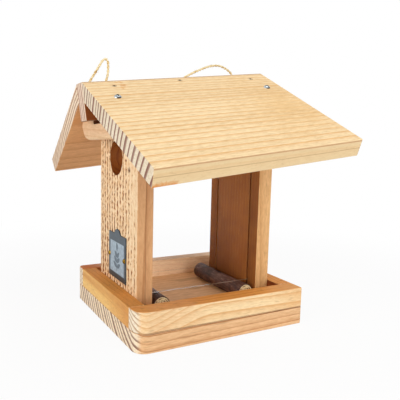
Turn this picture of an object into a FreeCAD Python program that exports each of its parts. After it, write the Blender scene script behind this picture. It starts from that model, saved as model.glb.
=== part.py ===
import FreeCAD, Part
import math
import os

from FreeCAD import Placement, Rotation, Vector

# Hanging seed feeder in softwood: a railed tray, two grooved side walls that hold clear panes,
# and a cleated gable roof that lifts along a hanging cord.
# Millimetres. X runs along the ridge, the front is -Y, Z is up from the middle of the tray's underside.

# Tray: a base board with four rails standing on it
tray_length = 181.5
tray_depth = 174.0
base_thickness = 18.0
rail_width = 15.5
front_rail_width = 19.5
rail_height = 19.7
front_left_radius = 12.5
back_left_radius = 5.0
right_corner_radius = 2.0
tray_edge_radius = 0.9

# Side walls, standing on the base board against the side rails
wall_thickness = 16.0
wall_width = 96.4
left_wall_extra = 7.0
wall_height = 184.0
wall_edge_radius = 0.7
gable_hole_diameter = 35.0
gable_hole_drop = 37.0
left_hole_shift = 8.0

# Panes in the wall grooves, and the twigs that hold them clear of the floor
pane_thickness = 2.0
pane_setback = 15.5
pane_top_gap = 2.0
pane_edge_gap = 0.5
pane_seat_gap = 0.3
groove_depth = 5.0
groove_clearance = 0.4
twig_diameter = 18.2
twig_flat = 0.6
twig_length = 96.0
twig_shift = 2.0
twig_wall_gap = 1.8

# Roof: two slabs butted against a ridge board, with a cleat outside each wall
roof_overhang = 8.4
roof_shift = 1.3
roof_slope = 27.4
slab_length = 160.0
slab_thickness = 16.5
roof_edge_radius = 0.6
ridge_board_thickness = 17.0
ridge_board_height = 35.1
cleat_thickness = 15.5
left_cleat_drop = 18.8
right_cleat_drop = 16.7
cleat_front_half = 43.0
cleat_front_foot = 39.0
cleat_back_half = 39.7
cleat_back_foot = 33.5
cleat_back_chamfer = 4.8
cleat_step_y = 1.4
cleat_slab_gap = 2.1
cleat_wall_play = 1.25
cleat_edge_radius = 6.5
cleat_offset = 2.5

# The roof as it stands: the right cleat perched on the right wall, the whole leaning back
perch_inset = 6.45
roof_lean = 2.1
seat_gap = 0.25
shoulder_gap = 0.86

# Name plate on the left wall
plate_width = 47.0
plate_height = 46.0
plate_thickness = 1.2
plate_rise = 5.5
plate_shift = 1.5
crest_width = 17.0
crest_height = 5.0
pin_head_diameter = 5.5
pin_head_height = 1.8
pin_shank_diameter = 1.4
pin_length = 12.0
pin_inset = 2.9

# Fasteners: a bite is the depth held in the last piece
fastener_gap = 0.1
wall_screw_diameter = 4.0
wall_screw_bite = 27.0
wall_screw_spacing = 56.0
twig_screw_diameter = 3.5
twig_screw_bite = 10.0
twig_screw_spacing = 60.0
cleat_screw_diameter = 3.5
cleat_screw_bite = 13.0
cleat_screw_fall = 37.6
cleat_screw_inset = 3.3
pan_head_diameter = 7.0
pan_head_height = 2.2
screw_head_ratio = 1.95
recess_arm = 2.1
recess_width = 1.0
recess_depth = 1.4
brad_diameter = 1.4
brad_head_diameter = 2.3
brad_head_height = 0.8
rail_brad_bite = 12.0
rail_brad_spacing = 64.0
ridge_brad_bite = 6.5
ridge_brad_aim = 12.0
ridge_brad_sink = 0.5
ridge_brad_stagger = 8.0
ridge_brad_places = ((-72.3, 12.7), (-1.9, 7.4), (79.2, 13.6))
wall_brad_bite = 12.0
wall_brad_forward = 27.0
wall_brad_drop = 47.0

# Hanging cord: knotted in the gable holes, out through the back slab, slack on the roof
cord_diameter = 2.6
slab_cord_hole_diameter = 7.8
slab_cord_hole_outset = 6.75
slab_cord_hole_fall = 14.0
wall_cord_hole_diameter = 4.5
wall_cord_hole_inset = 6.5
wall_cord_hole_shift = 12.0
knot_diameter = 8.0
knot_gap = 0.4
knot_angle = 20.0
cord_route = [
    (-65.75, 12.0, 202.0), (-65.75, 12.0, 205.4), (-68.9, 12.1, 208.9), (-74.6, 12.4, 211.2),
    (-80.8, 13.3, 213.6), (-84.9, 16.2, 219.6), (-85.8, 21.4, 229.2), (-81.4, 25.0, 237.0),
    (-77.5, 26.8, 246.0), (-76.9, 27.8, 254.2), (-76.9, 28.2, 261.0), (-81.4, 28.4, 262.5),
    (-87.6, 29.2, 251.4), (-95.2, 30.6, 239.0), (-101.2, 35.0, 226.9), (-104.2, 44.8, 217.5),
    (-102.2, 58.5, 209.4), (-95.8, 72.5, 202.2), (-83.6, 85.5, 196.2), (-66.0, 95.1, 192.8),
    (-46.0, 98.6, 193.2), (-27.4, 94.2, 197.9), (-13.7, 82.9, 205.9), (-6.3, 67.7, 215.5),
    (-3.8, 51.6, 224.9), (-4.2, 36.9, 233.5), (-3.7, 24.6, 241.3), (1.8, 15.5, 248.8),
    (12.0, 15.0, 254.4), (24.5, 18.4, 259.8), (38.0, 22.6, 264.8), (51.5, 25.4, 266.8),
    (62.4, 26.4, 263.4), (69.2, 26.4, 258.6), (68.0, 25.2, 252.8), (62.8, 23.1, 248.6),
    (61.6, 19.4, 241.8), (62.2, 15.0, 234.4), (63.6, 12.9, 224.2), (65.1, 12.1, 214.4),
    (65.75, 12.0, 207.2), (65.75, 12.0, 202.0),
]
arc_share = 0.45

# Heights and half sizes that follow
tray_half_length = tray_length / 2
tray_half_depth = tray_depth / 2
rail_top = base_thickness + rail_height
wall_outer = tray_half_length - rail_width
wall_inner = wall_outer - wall_thickness
wall_middle = (wall_outer + wall_inner) / 2
wall_half = wall_width / 2
wall_back = {-1: wall_half + left_wall_extra, 1: wall_half}
hole_y = {-1: left_hole_shift, 1: 0.0}
wall_top = base_thickness + wall_height
gable_hole_z = wall_top - gable_hole_drop
pane_y = wall_half - pane_setback
groove_width = pane_thickness + 2 * groove_clearance
twig_radius = twig_diameter / 2
twig_x = wall_inner - twig_wall_gap - twig_radius
twig_axis_z = base_thickness + twig_radius - twig_flat
pane_bottom = twig_axis_z + twig_radius + pane_seat_gap
pane_top = wall_top - pane_top_gap
slope = math.radians(roof_slope)
ridge_half = ridge_board_thickness / 2
cleat_inner = wall_outer + cleat_wall_play
cleat_middle = cleat_inner + cleat_thickness / 2
roof_half = cleat_inner + cleat_thickness + roof_overhang
roof_left = roof_shift - roof_half
roof_right = roof_shift + roof_half
touch = 0.001

os.makedirs("parts", exist_ok=True)


def export(name, *solids):
    shape = solids[0] if len(solids) == 1 else Part.makeCompound(list(solids))
    shape.exportStep("parts/" + name + ".step")


def block(low, high):
    size = Vector(*high) - Vector(*low)
    return Part.makeBox(size.x, size.y, size.z, Vector(*low))


def prism_along_x(outline, x_low, x_high):
    points = [Vector(x_low, y, z) for y, z in outline]
    face = Part.Face(Part.makePolygon(points + points[:1]))
    return face.extrude(Vector(x_high - x_low, 0, 0))


def soften(solid, radius):
    return solid.makeFillet(radius, solid.Edges)


def aimed(solid, point, direction):
    placed = solid.copy()
    placed.Placement = Placement(point, Rotation(Vector(0, 0, 1), direction))
    return placed


def screw(length, diameter, grow):
    # Countersunk head at the origin, flush with the surface, shank along +Z
    radius = diameter / 2 + grow
    head_radius = screw_head_ratio * diameter / 2 + grow
    head = Part.makeCone(head_radius, radius, head_radius - radius)
    body = head.fuse(Part.makeCylinder(radius, length + grow)).removeSplitter()
    if grow:
        return body
    return recessed(body, 0)


def recessed(body, z):
    # Cross recess sunk from the height z
    half = recess_width / 2
    for x, y in ((recess_arm, half), (half, recess_arm)):
        body = body.cut(block((-x, -y, z), (x, y, z + recess_depth)))
    return body


def domed_head(diameter, height):
    # Shallow dome with its flat side at the origin, rising along -Z
    sphere_radius = (diameter ** 2 / 4 + height ** 2) / (2 * height)
    sphere = Part.makeSphere(sphere_radius, Vector(0, 0, sphere_radius - height))
    return sphere.common(block((-diameter, -diameter, -height - touch), (diameter, diameter, 0)))


def pan_screw(length, diameter, grow):
    # Domed head standing on the surface, shank along +Z
    shank = Part.makeCylinder(diameter / 2 + grow, length + grow)
    if grow:
        return shank
    body = shank.fuse(domed_head(pan_head_diameter, pan_head_height)).removeSplitter()
    return recessed(body, -pan_head_height)


def brad(length, grow):
    # Small round head at the origin, shank along +Z; a grown one is its hole, open to the surface
    mouth = -brad_head_height if grow else 0.0
    depth = brad_head_height + grow - mouth
    head = Part.makeCylinder(brad_head_diameter / 2 + grow, depth, Vector(0, 0, mouth))
    return head.fuse(Part.makeCylinder(brad_diameter / 2 + grow, length + grow)).removeSplitter()


def drilled(solid, holes):
    for hole in holes:
        solid = solid.cut(hole)
    return solid


def tray_block(z_low, z_high):
    # Full outline of the tray, its corners rounded by hand: most at the front left
    low = (-tray_half_length, -tray_half_depth, z_low)
    high = (tray_half_length, tray_half_depth, z_high)
    solid = block(low, high)
    corners = [(-1, -1, front_left_radius), (-1, 1, back_left_radius)]
    corners += [(1, -1, right_corner_radius), (1, 1, right_corner_radius)]
    for x_side, y_side, radius in corners:
        upright = Vector(x_side * tray_half_length, y_side * tray_half_depth, (z_low + z_high) / 2)
        corner = [edge for edge in solid.Edges if edge.BoundBox.Center.isEqual(upright, touch)]
        solid = solid.makeFillet(radius, corner)
    return solid


# Fasteners driven up through the base board
up = Vector(0, 0, 1)
rail_x = tray_half_length - rail_width / 2
front_rail_y = front_rail_width / 2 - tray_half_depth
back_rail_y = tray_half_depth - rail_width / 2


def four_places(x, spacing):
    return [Vector(side * x, end * spacing / 2, 0) for side in (-1, 1) for end in (-1, 1)]


def wall_screws(grow=0.0):
    shape = screw(base_thickness + wall_screw_bite, wall_screw_diameter, grow)
    return [aimed(shape, place, up) for place in four_places(wall_middle, wall_screw_spacing)]


def twig_screws(grow=0.0):
    shape = screw(base_thickness + twig_screw_bite, twig_screw_diameter, grow)
    return [aimed(shape, place, up) for place in four_places(twig_x, twig_screw_spacing)]


def rail_brads(grow=0.0):
    shape = brad(base_thickness + rail_brad_bite, grow)
    places = four_places(rail_x, rail_brad_spacing)
    for step in (-1, 0, 1):
        places += [Vector(step * rail_brad_spacing, y, 0) for y in (front_rail_y, back_rail_y)]
    return [aimed(shape, place, up) for place in places]


export("wall_screws", *wall_screws())
export("twig_screws", *twig_screws())
export("rail_brads", *rail_brads())

# Tray
base_board = soften(tray_block(0, base_thickness), tray_edge_radius)
base_board = drilled(base_board, wall_screws(fastener_gap) + twig_screws(fastener_gap))
export("base_board", drilled(base_board, rail_brads(fastener_gap)))

rail_ring = tray_block(base_thickness, rail_top)
side_rail_front = front_rail_width - tray_half_depth
side_rail_back = tray_half_depth - rail_width
for y_low, y_high, name in ((-tray_half_depth, side_rail_front, "front_rail"),
                            (side_rail_back, tray_half_depth, "back_rail")):
    strip = block((-tray_half_length, y_low, base_thickness), (tray_half_length, y_high, rail_top))
    rail = soften(rail_ring.common(strip), tray_edge_radius)
    export(name, drilled(rail, rail_brads(fastener_gap)))
for side, name in ((-1, "left_rail"), (1, "right_rail")):
    edges = sorted((side * wall_outer, side * tray_half_length))
    strip = block((edges[0], side_rail_front, base_thickness), (edges[1], side_rail_back, rail_top))
    export(name, drilled(soften(strip, tray_edge_radius), rail_brads(fastener_gap)))

# Roof outline in its own frame: origin at the middle of the ridge board's underside
slab_top_z = ridge_board_height
slab_foot_z = slab_top_z - slab_thickness / math.cos(slope)


def slab_under(y):
    return slab_foot_z - (y - ridge_half) * math.tan(slope)


def slab_outline(side):
    # Plumb cut at the ridge, square cut at the eave
    eave_y = ridge_half + slab_length * math.cos(slope)
    eave_z = slab_top_z - slab_length * math.sin(slope)
    lower_y = eave_y - slab_thickness * math.sin(slope)
    lower_z = eave_z - slab_thickness * math.cos(slope)
    outline = [(ridge_half, slab_top_z), (eave_y, eave_z), (lower_y, lower_z), (ridge_half, slab_foot_z)]
    return [(side * y, z) for y, z in outline]


def on_slab(side, x, fall):
    # A point of the slab's top face, so far down the slope
    y = ridge_half + fall * math.cos(slope)
    return Vector(x, side * y, slab_top_z - fall * math.sin(slope))


def into_slab(side):
    return Vector(0, -side * math.sin(slope), -math.cos(slope))


# Resting height of the roof over each wall when it leans, and the tilt that follows
shoulder_drop = max(0.0, shoulder_gap - slab_under(wall_half))
shoulder_half = wall_half - shoulder_drop / math.tan(slope)
lean = math.radians(roof_lean)
left_rest = max(ridge_half * math.sin(lean), wall_back[-1] * math.sin(lean) - shoulder_gap) + seat_gap
right_foot = min(cleat_back_foot, shoulder_half)
right_rest = right_cleat_drop * math.cos(lean) + right_foot * math.sin(lean) + seat_gap
perch_span = 2 * wall_outer - perch_inset
tilt = math.asin((right_rest - left_rest) / perch_span)
perch_x = cleat_offset + cleat_inner - perch_span * math.cos(tilt)
roof_place = Placement(Vector(-wall_outer, 0, wall_top), Rotation(Vector(0, 1, 0), -math.degrees(tilt)))
roof_place = roof_place.multiply(Placement(Vector(-perch_x, 0, left_rest), Rotation()))
roof_place = roof_place.multiply(Placement(Vector(), Rotation(Vector(1, 0, 0), -roof_lean)))


def on_roof(solid):
    placed = solid.copy()
    placed.Placement = roof_place.multiply(placed.Placement)
    return placed


# Name plate with its arched crest, and the two domed pins that hold it
across = Vector(1, 0, 0)
plate_bottom = rail_top + plate_rise
plate_top = plate_bottom + plate_height
plate_low_y = plate_shift - plate_width / 2
plate_high_y = plate_shift + plate_width / 2
pin_z = plate_bottom + plate_height / 2


def plate_pins(grow=0.0):
    pins = []
    for y in (plate_low_y + pin_inset, plate_high_y - pin_inset):
        place = Vector(-wall_outer - plate_thickness, y, pin_z)
        pin = Part.makeCylinder(pin_shank_diameter / 2 + grow, pin_length + grow, place, across)
        head = aimed(domed_head(pin_head_diameter, pin_head_height), place, across)
        pins.append(pin if grow else pin.fuse(head))
    return pins


def on_wall(y, z):
    return Vector(-wall_outer, y, z)


crest_low = on_wall(plate_shift - crest_width / 2, plate_top)
crest_high = on_wall(plate_shift + crest_width / 2, plate_top)
crest_tip = on_wall(plate_shift, plate_top + crest_height)
rim = [crest_low, on_wall(plate_low_y, plate_top), on_wall(plate_low_y, plate_bottom)]
rim += [on_wall(plate_high_y, plate_bottom), on_wall(plate_high_y, plate_top), crest_high]
rim_edges = [Part.makeLine(start, end) for start, end in zip(rim, rim[1:])]
rim_edges.append(Part.Arc(crest_high, crest_tip, crest_low).toShape())
plate = Part.Face(Part.Wire(rim_edges)).extrude(across * -plate_thickness)
export("name_plate", drilled(plate, plate_pins(fastener_gap)))
export("plate_pins", *plate_pins())

# Side walls with pane grooves, shoulders parallel to the slabs, gable hole and cord hole
knot_radius = knot_diameter / 2
knot_reach = gable_hole_diameter / 2 - knot_radius - knot_gap
knot_y = knot_reach * math.sin(math.radians(knot_angle))
knot_z = gable_hole_z + knot_reach * math.cos(math.radians(knot_angle))
wall_cord_x = wall_inner + wall_cord_hole_inset


def cord_leg(side, radius):
    # From the knot up to the top of the wall, a little backwards
    knot = Vector(side * wall_cord_x, hole_y[side] + knot_y, knot_z)
    run = Vector(knot.x, wall_cord_hole_shift, wall_top) - knot
    leg = Part.makeCylinder(radius, run.Length + wall_cord_hole_diameter, knot, run)
    return leg.common(block((-tray_length, -tray_depth, 0), (tray_length, tray_depth, wall_top)))


def wall_brad(grow=0.0):
    return aimed(brad(wall_brad_bite, grow), on_wall(-wall_brad_forward, wall_top - wall_brad_drop), across)


def wall(side):
    faces = sorted((side * wall_inner, side * wall_outer))
    solid = block((faces[0], -wall_half, base_thickness), (faces[1], wall_back[side], wall_top))
    cuts = wall_screws(fastener_gap)
    shoulder = [(y, wall_top + slab_under(y) - shoulder_gap) for y in (ridge_half, wall_width)]
    shoulder.append((wall_width, shoulder[0][1]))
    groove_x = sorted((side * wall_inner, side * (wall_inner + groove_depth)))
    for end in (-1, 1):
        cuts.append(prism_along_x([(end * y, z) for y, z in shoulder], *faces))
        low = (groove_x[0], end * pane_y - groove_width / 2, base_thickness)
        high = (groove_x[1], end * pane_y + groove_width / 2, wall_top)
        cuts.append(block(low, high))
    gable_middle = Vector(faces[0], hole_y[side], gable_hole_z)
    cuts.append(Part.makeCylinder(gable_hole_diameter / 2, wall_thickness, gable_middle, across))
    cuts.append(cord_leg(side, wall_cord_hole_diameter / 2))
    return drilled(soften(solid, wall_edge_radius), cuts)


export("left_wall", drilled(wall(-1), plate_pins(fastener_gap) + [wall_brad(fastener_gap)]))
export("right_wall", wall(1))
export("wall_brad", wall_brad())

# Panes
pane_half_length = wall_inner + groove_depth - pane_edge_gap
for side, name in ((-1, "front_pane"), (1, "back_pane")):
    low = (-pane_half_length, side * pane_y - pane_thickness / 2, pane_bottom)
    high = (pane_half_length, side * pane_y + pane_thickness / 2, pane_top)
    export(name, block(low, high))

# Twigs, flattened underneath so that they sit on the base board
for side, name in ((-1, "left_twig"), (1, "right_twig")):
    start = Vector(side * twig_x, twig_shift - twig_length / 2, twig_axis_z)
    log = Part.makeCylinder(twig_radius, twig_length, start, Vector(0, 1, 0))
    low = (start.x - twig_diameter, start.y, base_thickness)
    high = (start.x + twig_diameter, start.y + twig_length, base_thickness + twig_diameter)
    export(name, drilled(log.common(block(low, high)), twig_screws(fastener_gap)))


# Roof fasteners: screws driven square to the slabs, brads toed in to the ridge board
def cleat_screws(grow=0.0):
    to_cleat = (slab_top_z - cleat_screw_fall * math.sin(slope)) / math.cos(slope)
    shape = pan_screw(to_cleat + cleat_screw_bite, cleat_screw_diameter, grow)
    reach = cleat_middle - cleat_screw_inset
    screws = []
    for side in (-1, 1):
        for x in (cleat_offset - reach, cleat_offset + reach):
            screws.append(aimed(shape, on_slab(side, x, cleat_screw_fall), into_slab(side)))
    return screws


def ridge_brads(grow=0.0):
    brads = []
    for side, stagger in ((-1, 0.0), (1, ridge_brad_stagger)):
        for x, fall in ridge_brad_places:
            place = on_slab(side, x + stagger, fall)
            run = Vector(place.x, side * (ridge_half - ridge_brad_bite), ridge_brad_aim) - place
            length = run.Length - ridge_brad_sink
            brads.append(aimed(brad(length, grow), place + run.normalize() * ridge_brad_sink, run))
    return brads


export("cleat_screws", *[on_roof(solid) for solid in cleat_screws()])
export("ridge_brads", *[on_roof(solid) for solid in ridge_brads()])

# Roof boards
cord_holes = []
for end in (-1, 1):
    x = cleat_offset + end * (wall_middle + slab_cord_hole_outset)
    mouth = on_slab(1, x, slab_cord_hole_fall)
    cord_holes.append(Part.makeCylinder(slab_cord_hole_diameter / 2, slab_thickness, mouth, into_slab(1)))
roof_holes = cleat_screws(fastener_gap) + ridge_brads(fastener_gap) + cord_holes
for side, name in ((-1, "front_roof_slab"), (1, "back_roof_slab")):
    slab = soften(prism_along_x(slab_outline(side), roof_left, roof_right), roof_edge_radius)
    export(name, on_roof(drilled(slab, roof_holes)))

ridge_board = block((roof_left, -ridge_half, 0), (roof_right, ridge_half, ridge_board_height))
ridge_board = drilled(soften(ridge_board, roof_edge_radius), ridge_brads(fastener_gap))
export("ridge_board", on_roof(ridge_board))

# Cleats under the ridge board, one outside each wall: the front half stepped down clear of the
# slab, the back end chamfered, and the outer lower edge rounded
cleat_top_half = ridge_half + (slab_foot_z - cleat_slab_gap) / math.tan(slope)
cleat_front_z = slab_under(cleat_front_half) - cleat_slab_gap
cleat_upper = [(cleat_back_half, -cleat_back_chamfer), (cleat_top_half, 0), (cleat_step_y, 0)]
cleat_upper += [(cleat_step_y, cleat_front_z), (-cleat_front_half, cleat_front_z)]
for side, drop, name in ((-1, left_cleat_drop, "left_cleat"), (1, right_cleat_drop, "right_cleat")):
    inner = cleat_offset + side * cleat_inner
    outer = inner + side * cleat_thickness
    cleat_outline = cleat_upper + [(-cleat_front_foot, -drop), (cleat_back_foot, -drop)]
    cleat = prism_along_x(cleat_outline, inner, outer)
    lower = []
    for edge in cleat.Edges:
        box = edge.BoundBox
        if box.ZMax < touch - drop and box.XLength < touch and abs(box.XMin - outer) < touch:
            lower.append(edge)
    cleat = cleat.makeFillet(cleat_edge_radius, lower)
    export(name, on_roof(drilled(cleat, cleat_screws(fastener_gap))))

# Knotted cord ends inside the walls
cord_radius = cord_diameter / 2
cord_ends = []
for side in (-1, 1):
    knot = Part.makeSphere(knot_radius, Vector(side * wall_cord_x, hole_y[side] + knot_y, knot_z))
    cord_ends.append(cord_leg(side, cord_radius).fuse(knot).removeSplitter())
export("cord_ends", *cord_ends)


def cord_tube(route):
    # Straight runs joined by the largest tangent arcs that the runs leave room for
    points = [Vector(*point) for point in route]
    start = points[0]
    edges = []
    radii = []
    for before, corner, after in zip(points, points[1:], points[2:]):
        arriving = (corner - before).normalize()
        leaving = (after - corner).normalize()
        reach = arc_share * min(before.distanceToPoint(corner), corner.distanceToPoint(after))
        half_turn = arriving.getAngle(leaving) / 2
        radius = reach / math.tan(half_turn)
        arc_start = corner - arriving * reach
        arc_end = corner + leaving * reach
        inward = (leaving - arriving).normalize()
        arc_middle = corner + inward * (radius / math.cos(half_turn) - radius)
        edges.append(Part.LineSegment(start, arc_start).toShape())
        edges.append(Part.Arc(arc_start, arc_middle, arc_end).toShape())
        radii.append(round(radius, 1))
        start = arc_end
    edges.append(Part.LineSegment(start, points[-1]).toShape())
    path = Part.Wire(edges)
    section = Part.Wire(Part.makeCircle(cord_radius, points[0], points[1] - points[0]))
    tube = path.makePipeShell([section], True, False)
    plain_volume = math.pi * cord_radius ** 2 * path.Length
    print("cord length", round(path.Length, 1), "radii", radii)
    print("cord volume over section times length", round(tube.Volume / plain_volume, 4))
    return tube


export("hanging_cord", cord_tube(cord_route))
print("roof tilt", round(math.degrees(tilt), 2), "knot height", round(knot_z, 2))
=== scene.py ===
import math
import random
from functools import partial

import bmesh
import bpy
from mathutils import Matrix, Vector, noise


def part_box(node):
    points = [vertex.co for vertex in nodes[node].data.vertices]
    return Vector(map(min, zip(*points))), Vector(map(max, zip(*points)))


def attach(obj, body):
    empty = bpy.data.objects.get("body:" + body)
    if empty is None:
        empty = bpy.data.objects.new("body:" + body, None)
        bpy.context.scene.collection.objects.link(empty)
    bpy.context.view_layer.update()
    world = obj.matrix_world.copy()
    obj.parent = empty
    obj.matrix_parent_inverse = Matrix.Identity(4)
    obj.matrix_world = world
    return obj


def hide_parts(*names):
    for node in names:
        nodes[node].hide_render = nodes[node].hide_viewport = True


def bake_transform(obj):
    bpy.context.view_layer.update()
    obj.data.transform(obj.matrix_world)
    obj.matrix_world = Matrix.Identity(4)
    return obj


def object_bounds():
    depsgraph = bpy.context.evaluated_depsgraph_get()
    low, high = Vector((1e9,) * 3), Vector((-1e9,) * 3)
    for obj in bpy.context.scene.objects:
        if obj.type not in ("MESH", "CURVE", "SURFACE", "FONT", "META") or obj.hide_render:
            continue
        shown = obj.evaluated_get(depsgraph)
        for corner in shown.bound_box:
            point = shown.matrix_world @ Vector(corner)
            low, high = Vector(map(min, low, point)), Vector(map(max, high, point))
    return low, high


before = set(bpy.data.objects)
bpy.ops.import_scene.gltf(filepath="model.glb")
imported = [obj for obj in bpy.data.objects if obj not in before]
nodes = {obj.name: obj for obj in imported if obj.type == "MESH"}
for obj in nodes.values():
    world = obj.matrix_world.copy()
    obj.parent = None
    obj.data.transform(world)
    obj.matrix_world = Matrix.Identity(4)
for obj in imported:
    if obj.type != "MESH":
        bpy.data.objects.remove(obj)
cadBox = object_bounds()
scene = bpy.context.scene
scene.view_settings.view_transform = "Standard"
mm = 0.001


def hexColour(code):
    channels = [int(code[i:i + 2], 16) / 255 for i in (1, 3, 5)]
    linear = [c / 12.92 if c <= 0.04045 else ((c + 0.055) / 1.055) ** 2.4 for c in channels]
    return (*linear, 1.0)


# Settings that many nodes share
rgba = {"data_type": "RGBA"}
multiplied = {"data_type": "RGBA", "blend_type": "MULTIPLY"}
smoothly = {"interpolation_type": "SMOOTHSTEP"}
oneWay = {"noise_dimensions": "1D"}
add, subtract, multiply, multiplyAdd, divide = [
    {"operation": name} for name in ("ADD", "SUBTRACT", "MULTIPLY", "MULTIPLY_ADD", "DIVIDE")]
absolute, maximum, minimum, lessThan, pingPong = [
    {"operation": name} for name in ("ABSOLUTE", "MAXIMUM", "MINIMUM", "LESS_THAN", "PINGPONG")]
dotWith, distanceTo, lengthOf = [{"operation": name} for name in ("DOT_PRODUCT", "DISTANCE", "LENGTH")]


def addNode(tree, kind, settings={}, inputs={}, output=0):
    # Inputs by name or in order: sockets to link, hex colours or plain values. Gives one of the outputs
    made = tree.nodes.new("ShaderNode" + kind)
    for name, value in settings.items():
        setattr(made, name, value)
    for key, value in inputs.items() if isinstance(inputs, dict) else enumerate(inputs):
        if isinstance(value, bpy.types.NodeSocket):
            tree.links.new(value, made.inputs[key])
        else:
            made.inputs[key].default_value = hexColour(value) if isinstance(value, str) else value
    return made.outputs[output] if made.outputs else made


def startMaterial(name):
    material = bpy.data.materials.new(name)
    material.use_nodes = True
    material.node_tree.nodes.clear()
    return material, partial(addNode, material.node_tree)


def rampStops(ramp, stops):
    # stops are (position, hex colour or grey) pairs, in order
    points = ramp.node.color_ramp.elements
    while len(points) < len(stops):
        points.new(1.0)
    for point, (position, colour) in zip(points, stops):
        point.position = position
        point.color = hexColour(colour) if isinstance(colour, str) else (colour, colour, colour, 1.0)


def dress(nodeName, material):
    for slot in nodes[nodeName].material_slots:
        slot.material = material


def makePiece(name, mesh, body, slot, stands, *materials):
    if isinstance(mesh, bmesh.types.BMesh):
        bm, mesh = mesh, bpy.data.meshes.new(name)
        bm.to_mesh(mesh)
        bm.free()
    mesh.name = name
    for material in materials:
        mesh.materials.append(material)
    piece = bpy.data.objects.new(name, mesh)
    scene.collection.objects.link(piece)
    if body:
        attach(piece, body)
    if stands:
        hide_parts(*stands)
    return piece


# Camera, at the photograph's viewing angle
view = dict(
    eye=(-249.88, -470.53, 191.39),      # mm
    right=(0.87132, -0.49000, 0.02659),
    up=(0.04127, 0.12716, 0.99102),
    lens=45.563, sensor=36.0,            # mm
)


def placeCamera():
    camera = bpy.data.cameras.new("photoCamera")
    camera.lens = view["lens"]
    camera.sensor_width = view["sensor"]
    holder = bpy.data.objects.new("photoCamera", camera)
    scene.collection.objects.link(holder)
    right = Vector(view["right"]).normalized()
    up = Vector(view["up"])
    up = (up - right * up.dot(right)).normalized()
    turn = Matrix((right, up, right.cross(up))).transposed()
    holder.matrix_world = Matrix.Translation(Vector(view["eye"]) * mm) @ turn.to_4x4()
    scene.camera = holder
    print("camera placed")


placeCamera()


# Roof axes: the roof perches with its right cleat on the right wall
roofLie = dict(tilt=6.68, lean=2.1, slope=27.4, ridgeHeight=35.1, ridgeThickness=17.0,
               shift=1.3)                          # degrees, mm; boards shifted along the ridge
roofTurn = Matrix.Rotation(math.radians(-roofLie["tilt"]), 3, "Y")
roofTurn = roofTurn @ Matrix.Rotation(math.radians(-roofLie["lean"]), 3, "X")
ridgeLow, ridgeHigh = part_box("ridge_board")
ridgeMiddle = (ridgeLow + ridgeHigh) / 2 / mm
ridgeTop = ridgeMiddle + roofTurn @ Vector((-roofLie["shift"], 0, roofLie["ridgeHeight"] / 2))
slope = math.radians(roofLie["slope"])
alongRoof = roofTurn @ Vector((1, 0, 0))
front, back = -1, 1


def slabPoint(side, x, fall, depth):
    # mm: along the ridge, down the slope from the ridge board, and into the slab from its top face
    y = side * (roofLie["ridgeThickness"] / 2 + fall * math.cos(slope) - depth * math.sin(slope))
    return ridgeTop + roofTurn @ Vector((x, y, -fall * math.sin(slope) - depth * math.cos(slope)))


def slabUp(side):
    return (slabPoint(side, 0, 0, 0) - slabPoint(side, 0, 0, 1)).normalized()


def slabDown(side):
    return (slabPoint(side, 0, 1, 0) - slabPoint(side, 0, 0, 0)).normalized()


# Twine: two plies laid up along the route that it lies in
twine = dict(
    diameter=2.6, plyDiameter=1.5, pitch=8.5,       # mm
    steps=16, rim=2,                                # points per control point, roundness of a ply
    route=[
        (-65.75, 12.0, 202.0), (-65.75, 12.0, 205.4), (-68.9, 12.1, 208.9), (-74.6, 12.4, 211.2),
        (-80.8, 13.3, 213.6), (-84.9, 16.2, 219.6), (-85.8, 21.4, 229.2), (-81.4, 25.0, 237.0),
        (-77.5, 26.8, 246.0), (-76.9, 27.8, 254.2), (-76.9, 28.2, 261.0), (-81.4, 28.4, 262.5),
        (-87.6, 29.2, 251.4), (-95.2, 30.6, 239.0), (-101.2, 35.0, 226.9), (-104.2, 44.8, 217.5),
        (-102.2, 58.5, 209.4), (-95.8, 72.5, 202.2), (-83.6, 85.5, 196.2), (-66.0, 95.1, 192.8),
        (-46.0, 98.6, 193.2), (-27.4, 94.2, 197.9), (-13.7, 82.9, 205.9), (-6.3, 67.7, 215.5),
        (-3.8, 51.6, 224.9), (-4.2, 36.9, 233.5), (-3.7, 24.6, 241.3), (1.8, 15.5, 248.8),
        (12.0, 15.0, 254.4), (24.5, 18.4, 259.8), (38.0, 22.6, 264.8), (51.5, 25.4, 266.8),
        (62.4, 26.4, 263.4), (69.2, 26.4, 258.6), (68.0, 25.2, 252.8), (62.8, 23.1, 248.6),
        (61.6, 19.4, 241.8), (62.2, 15.0, 234.4), (63.6, 12.9, 224.2), (65.1, 12.1, 214.4),
        (65.75, 12.0, 207.2), (65.75, 12.0, 202.0),
    ],
    knotAt={-1: (-65.75, 12.48, 177.31), 1: (65.75, 4.48, 177.31)},
    legTop={-1: (-65.75, 12.0, 202.0), 1: (65.75, 12.0, 202.0)},
    knotSize=0.88, knotTurn=(0.5, 6.0), knotSteps=18, knotDepth=1.3, lead=(3.0, 6.0),
    hairs=190, hairLength=(1.2, 3.2), hairDiameter=0.16, hairFoot=0.9, hairRoom=0.5,     # mm
    hairRun=(0.5, 1.4), hairLift=0.55, hairDroop=0.1, hairBend=0.18,
    speck=1.0, blotch=6.0,                          # mm, fibres of another shade
    straw=[(0.56, "#B58644"), (0.70, "#DCBE80"), (0.92, "#F2E4BC")],
    stretch=(31.2, 24.9), stretchFall=14.0,         # mm under the back slab's top, where the legs give
)


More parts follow.
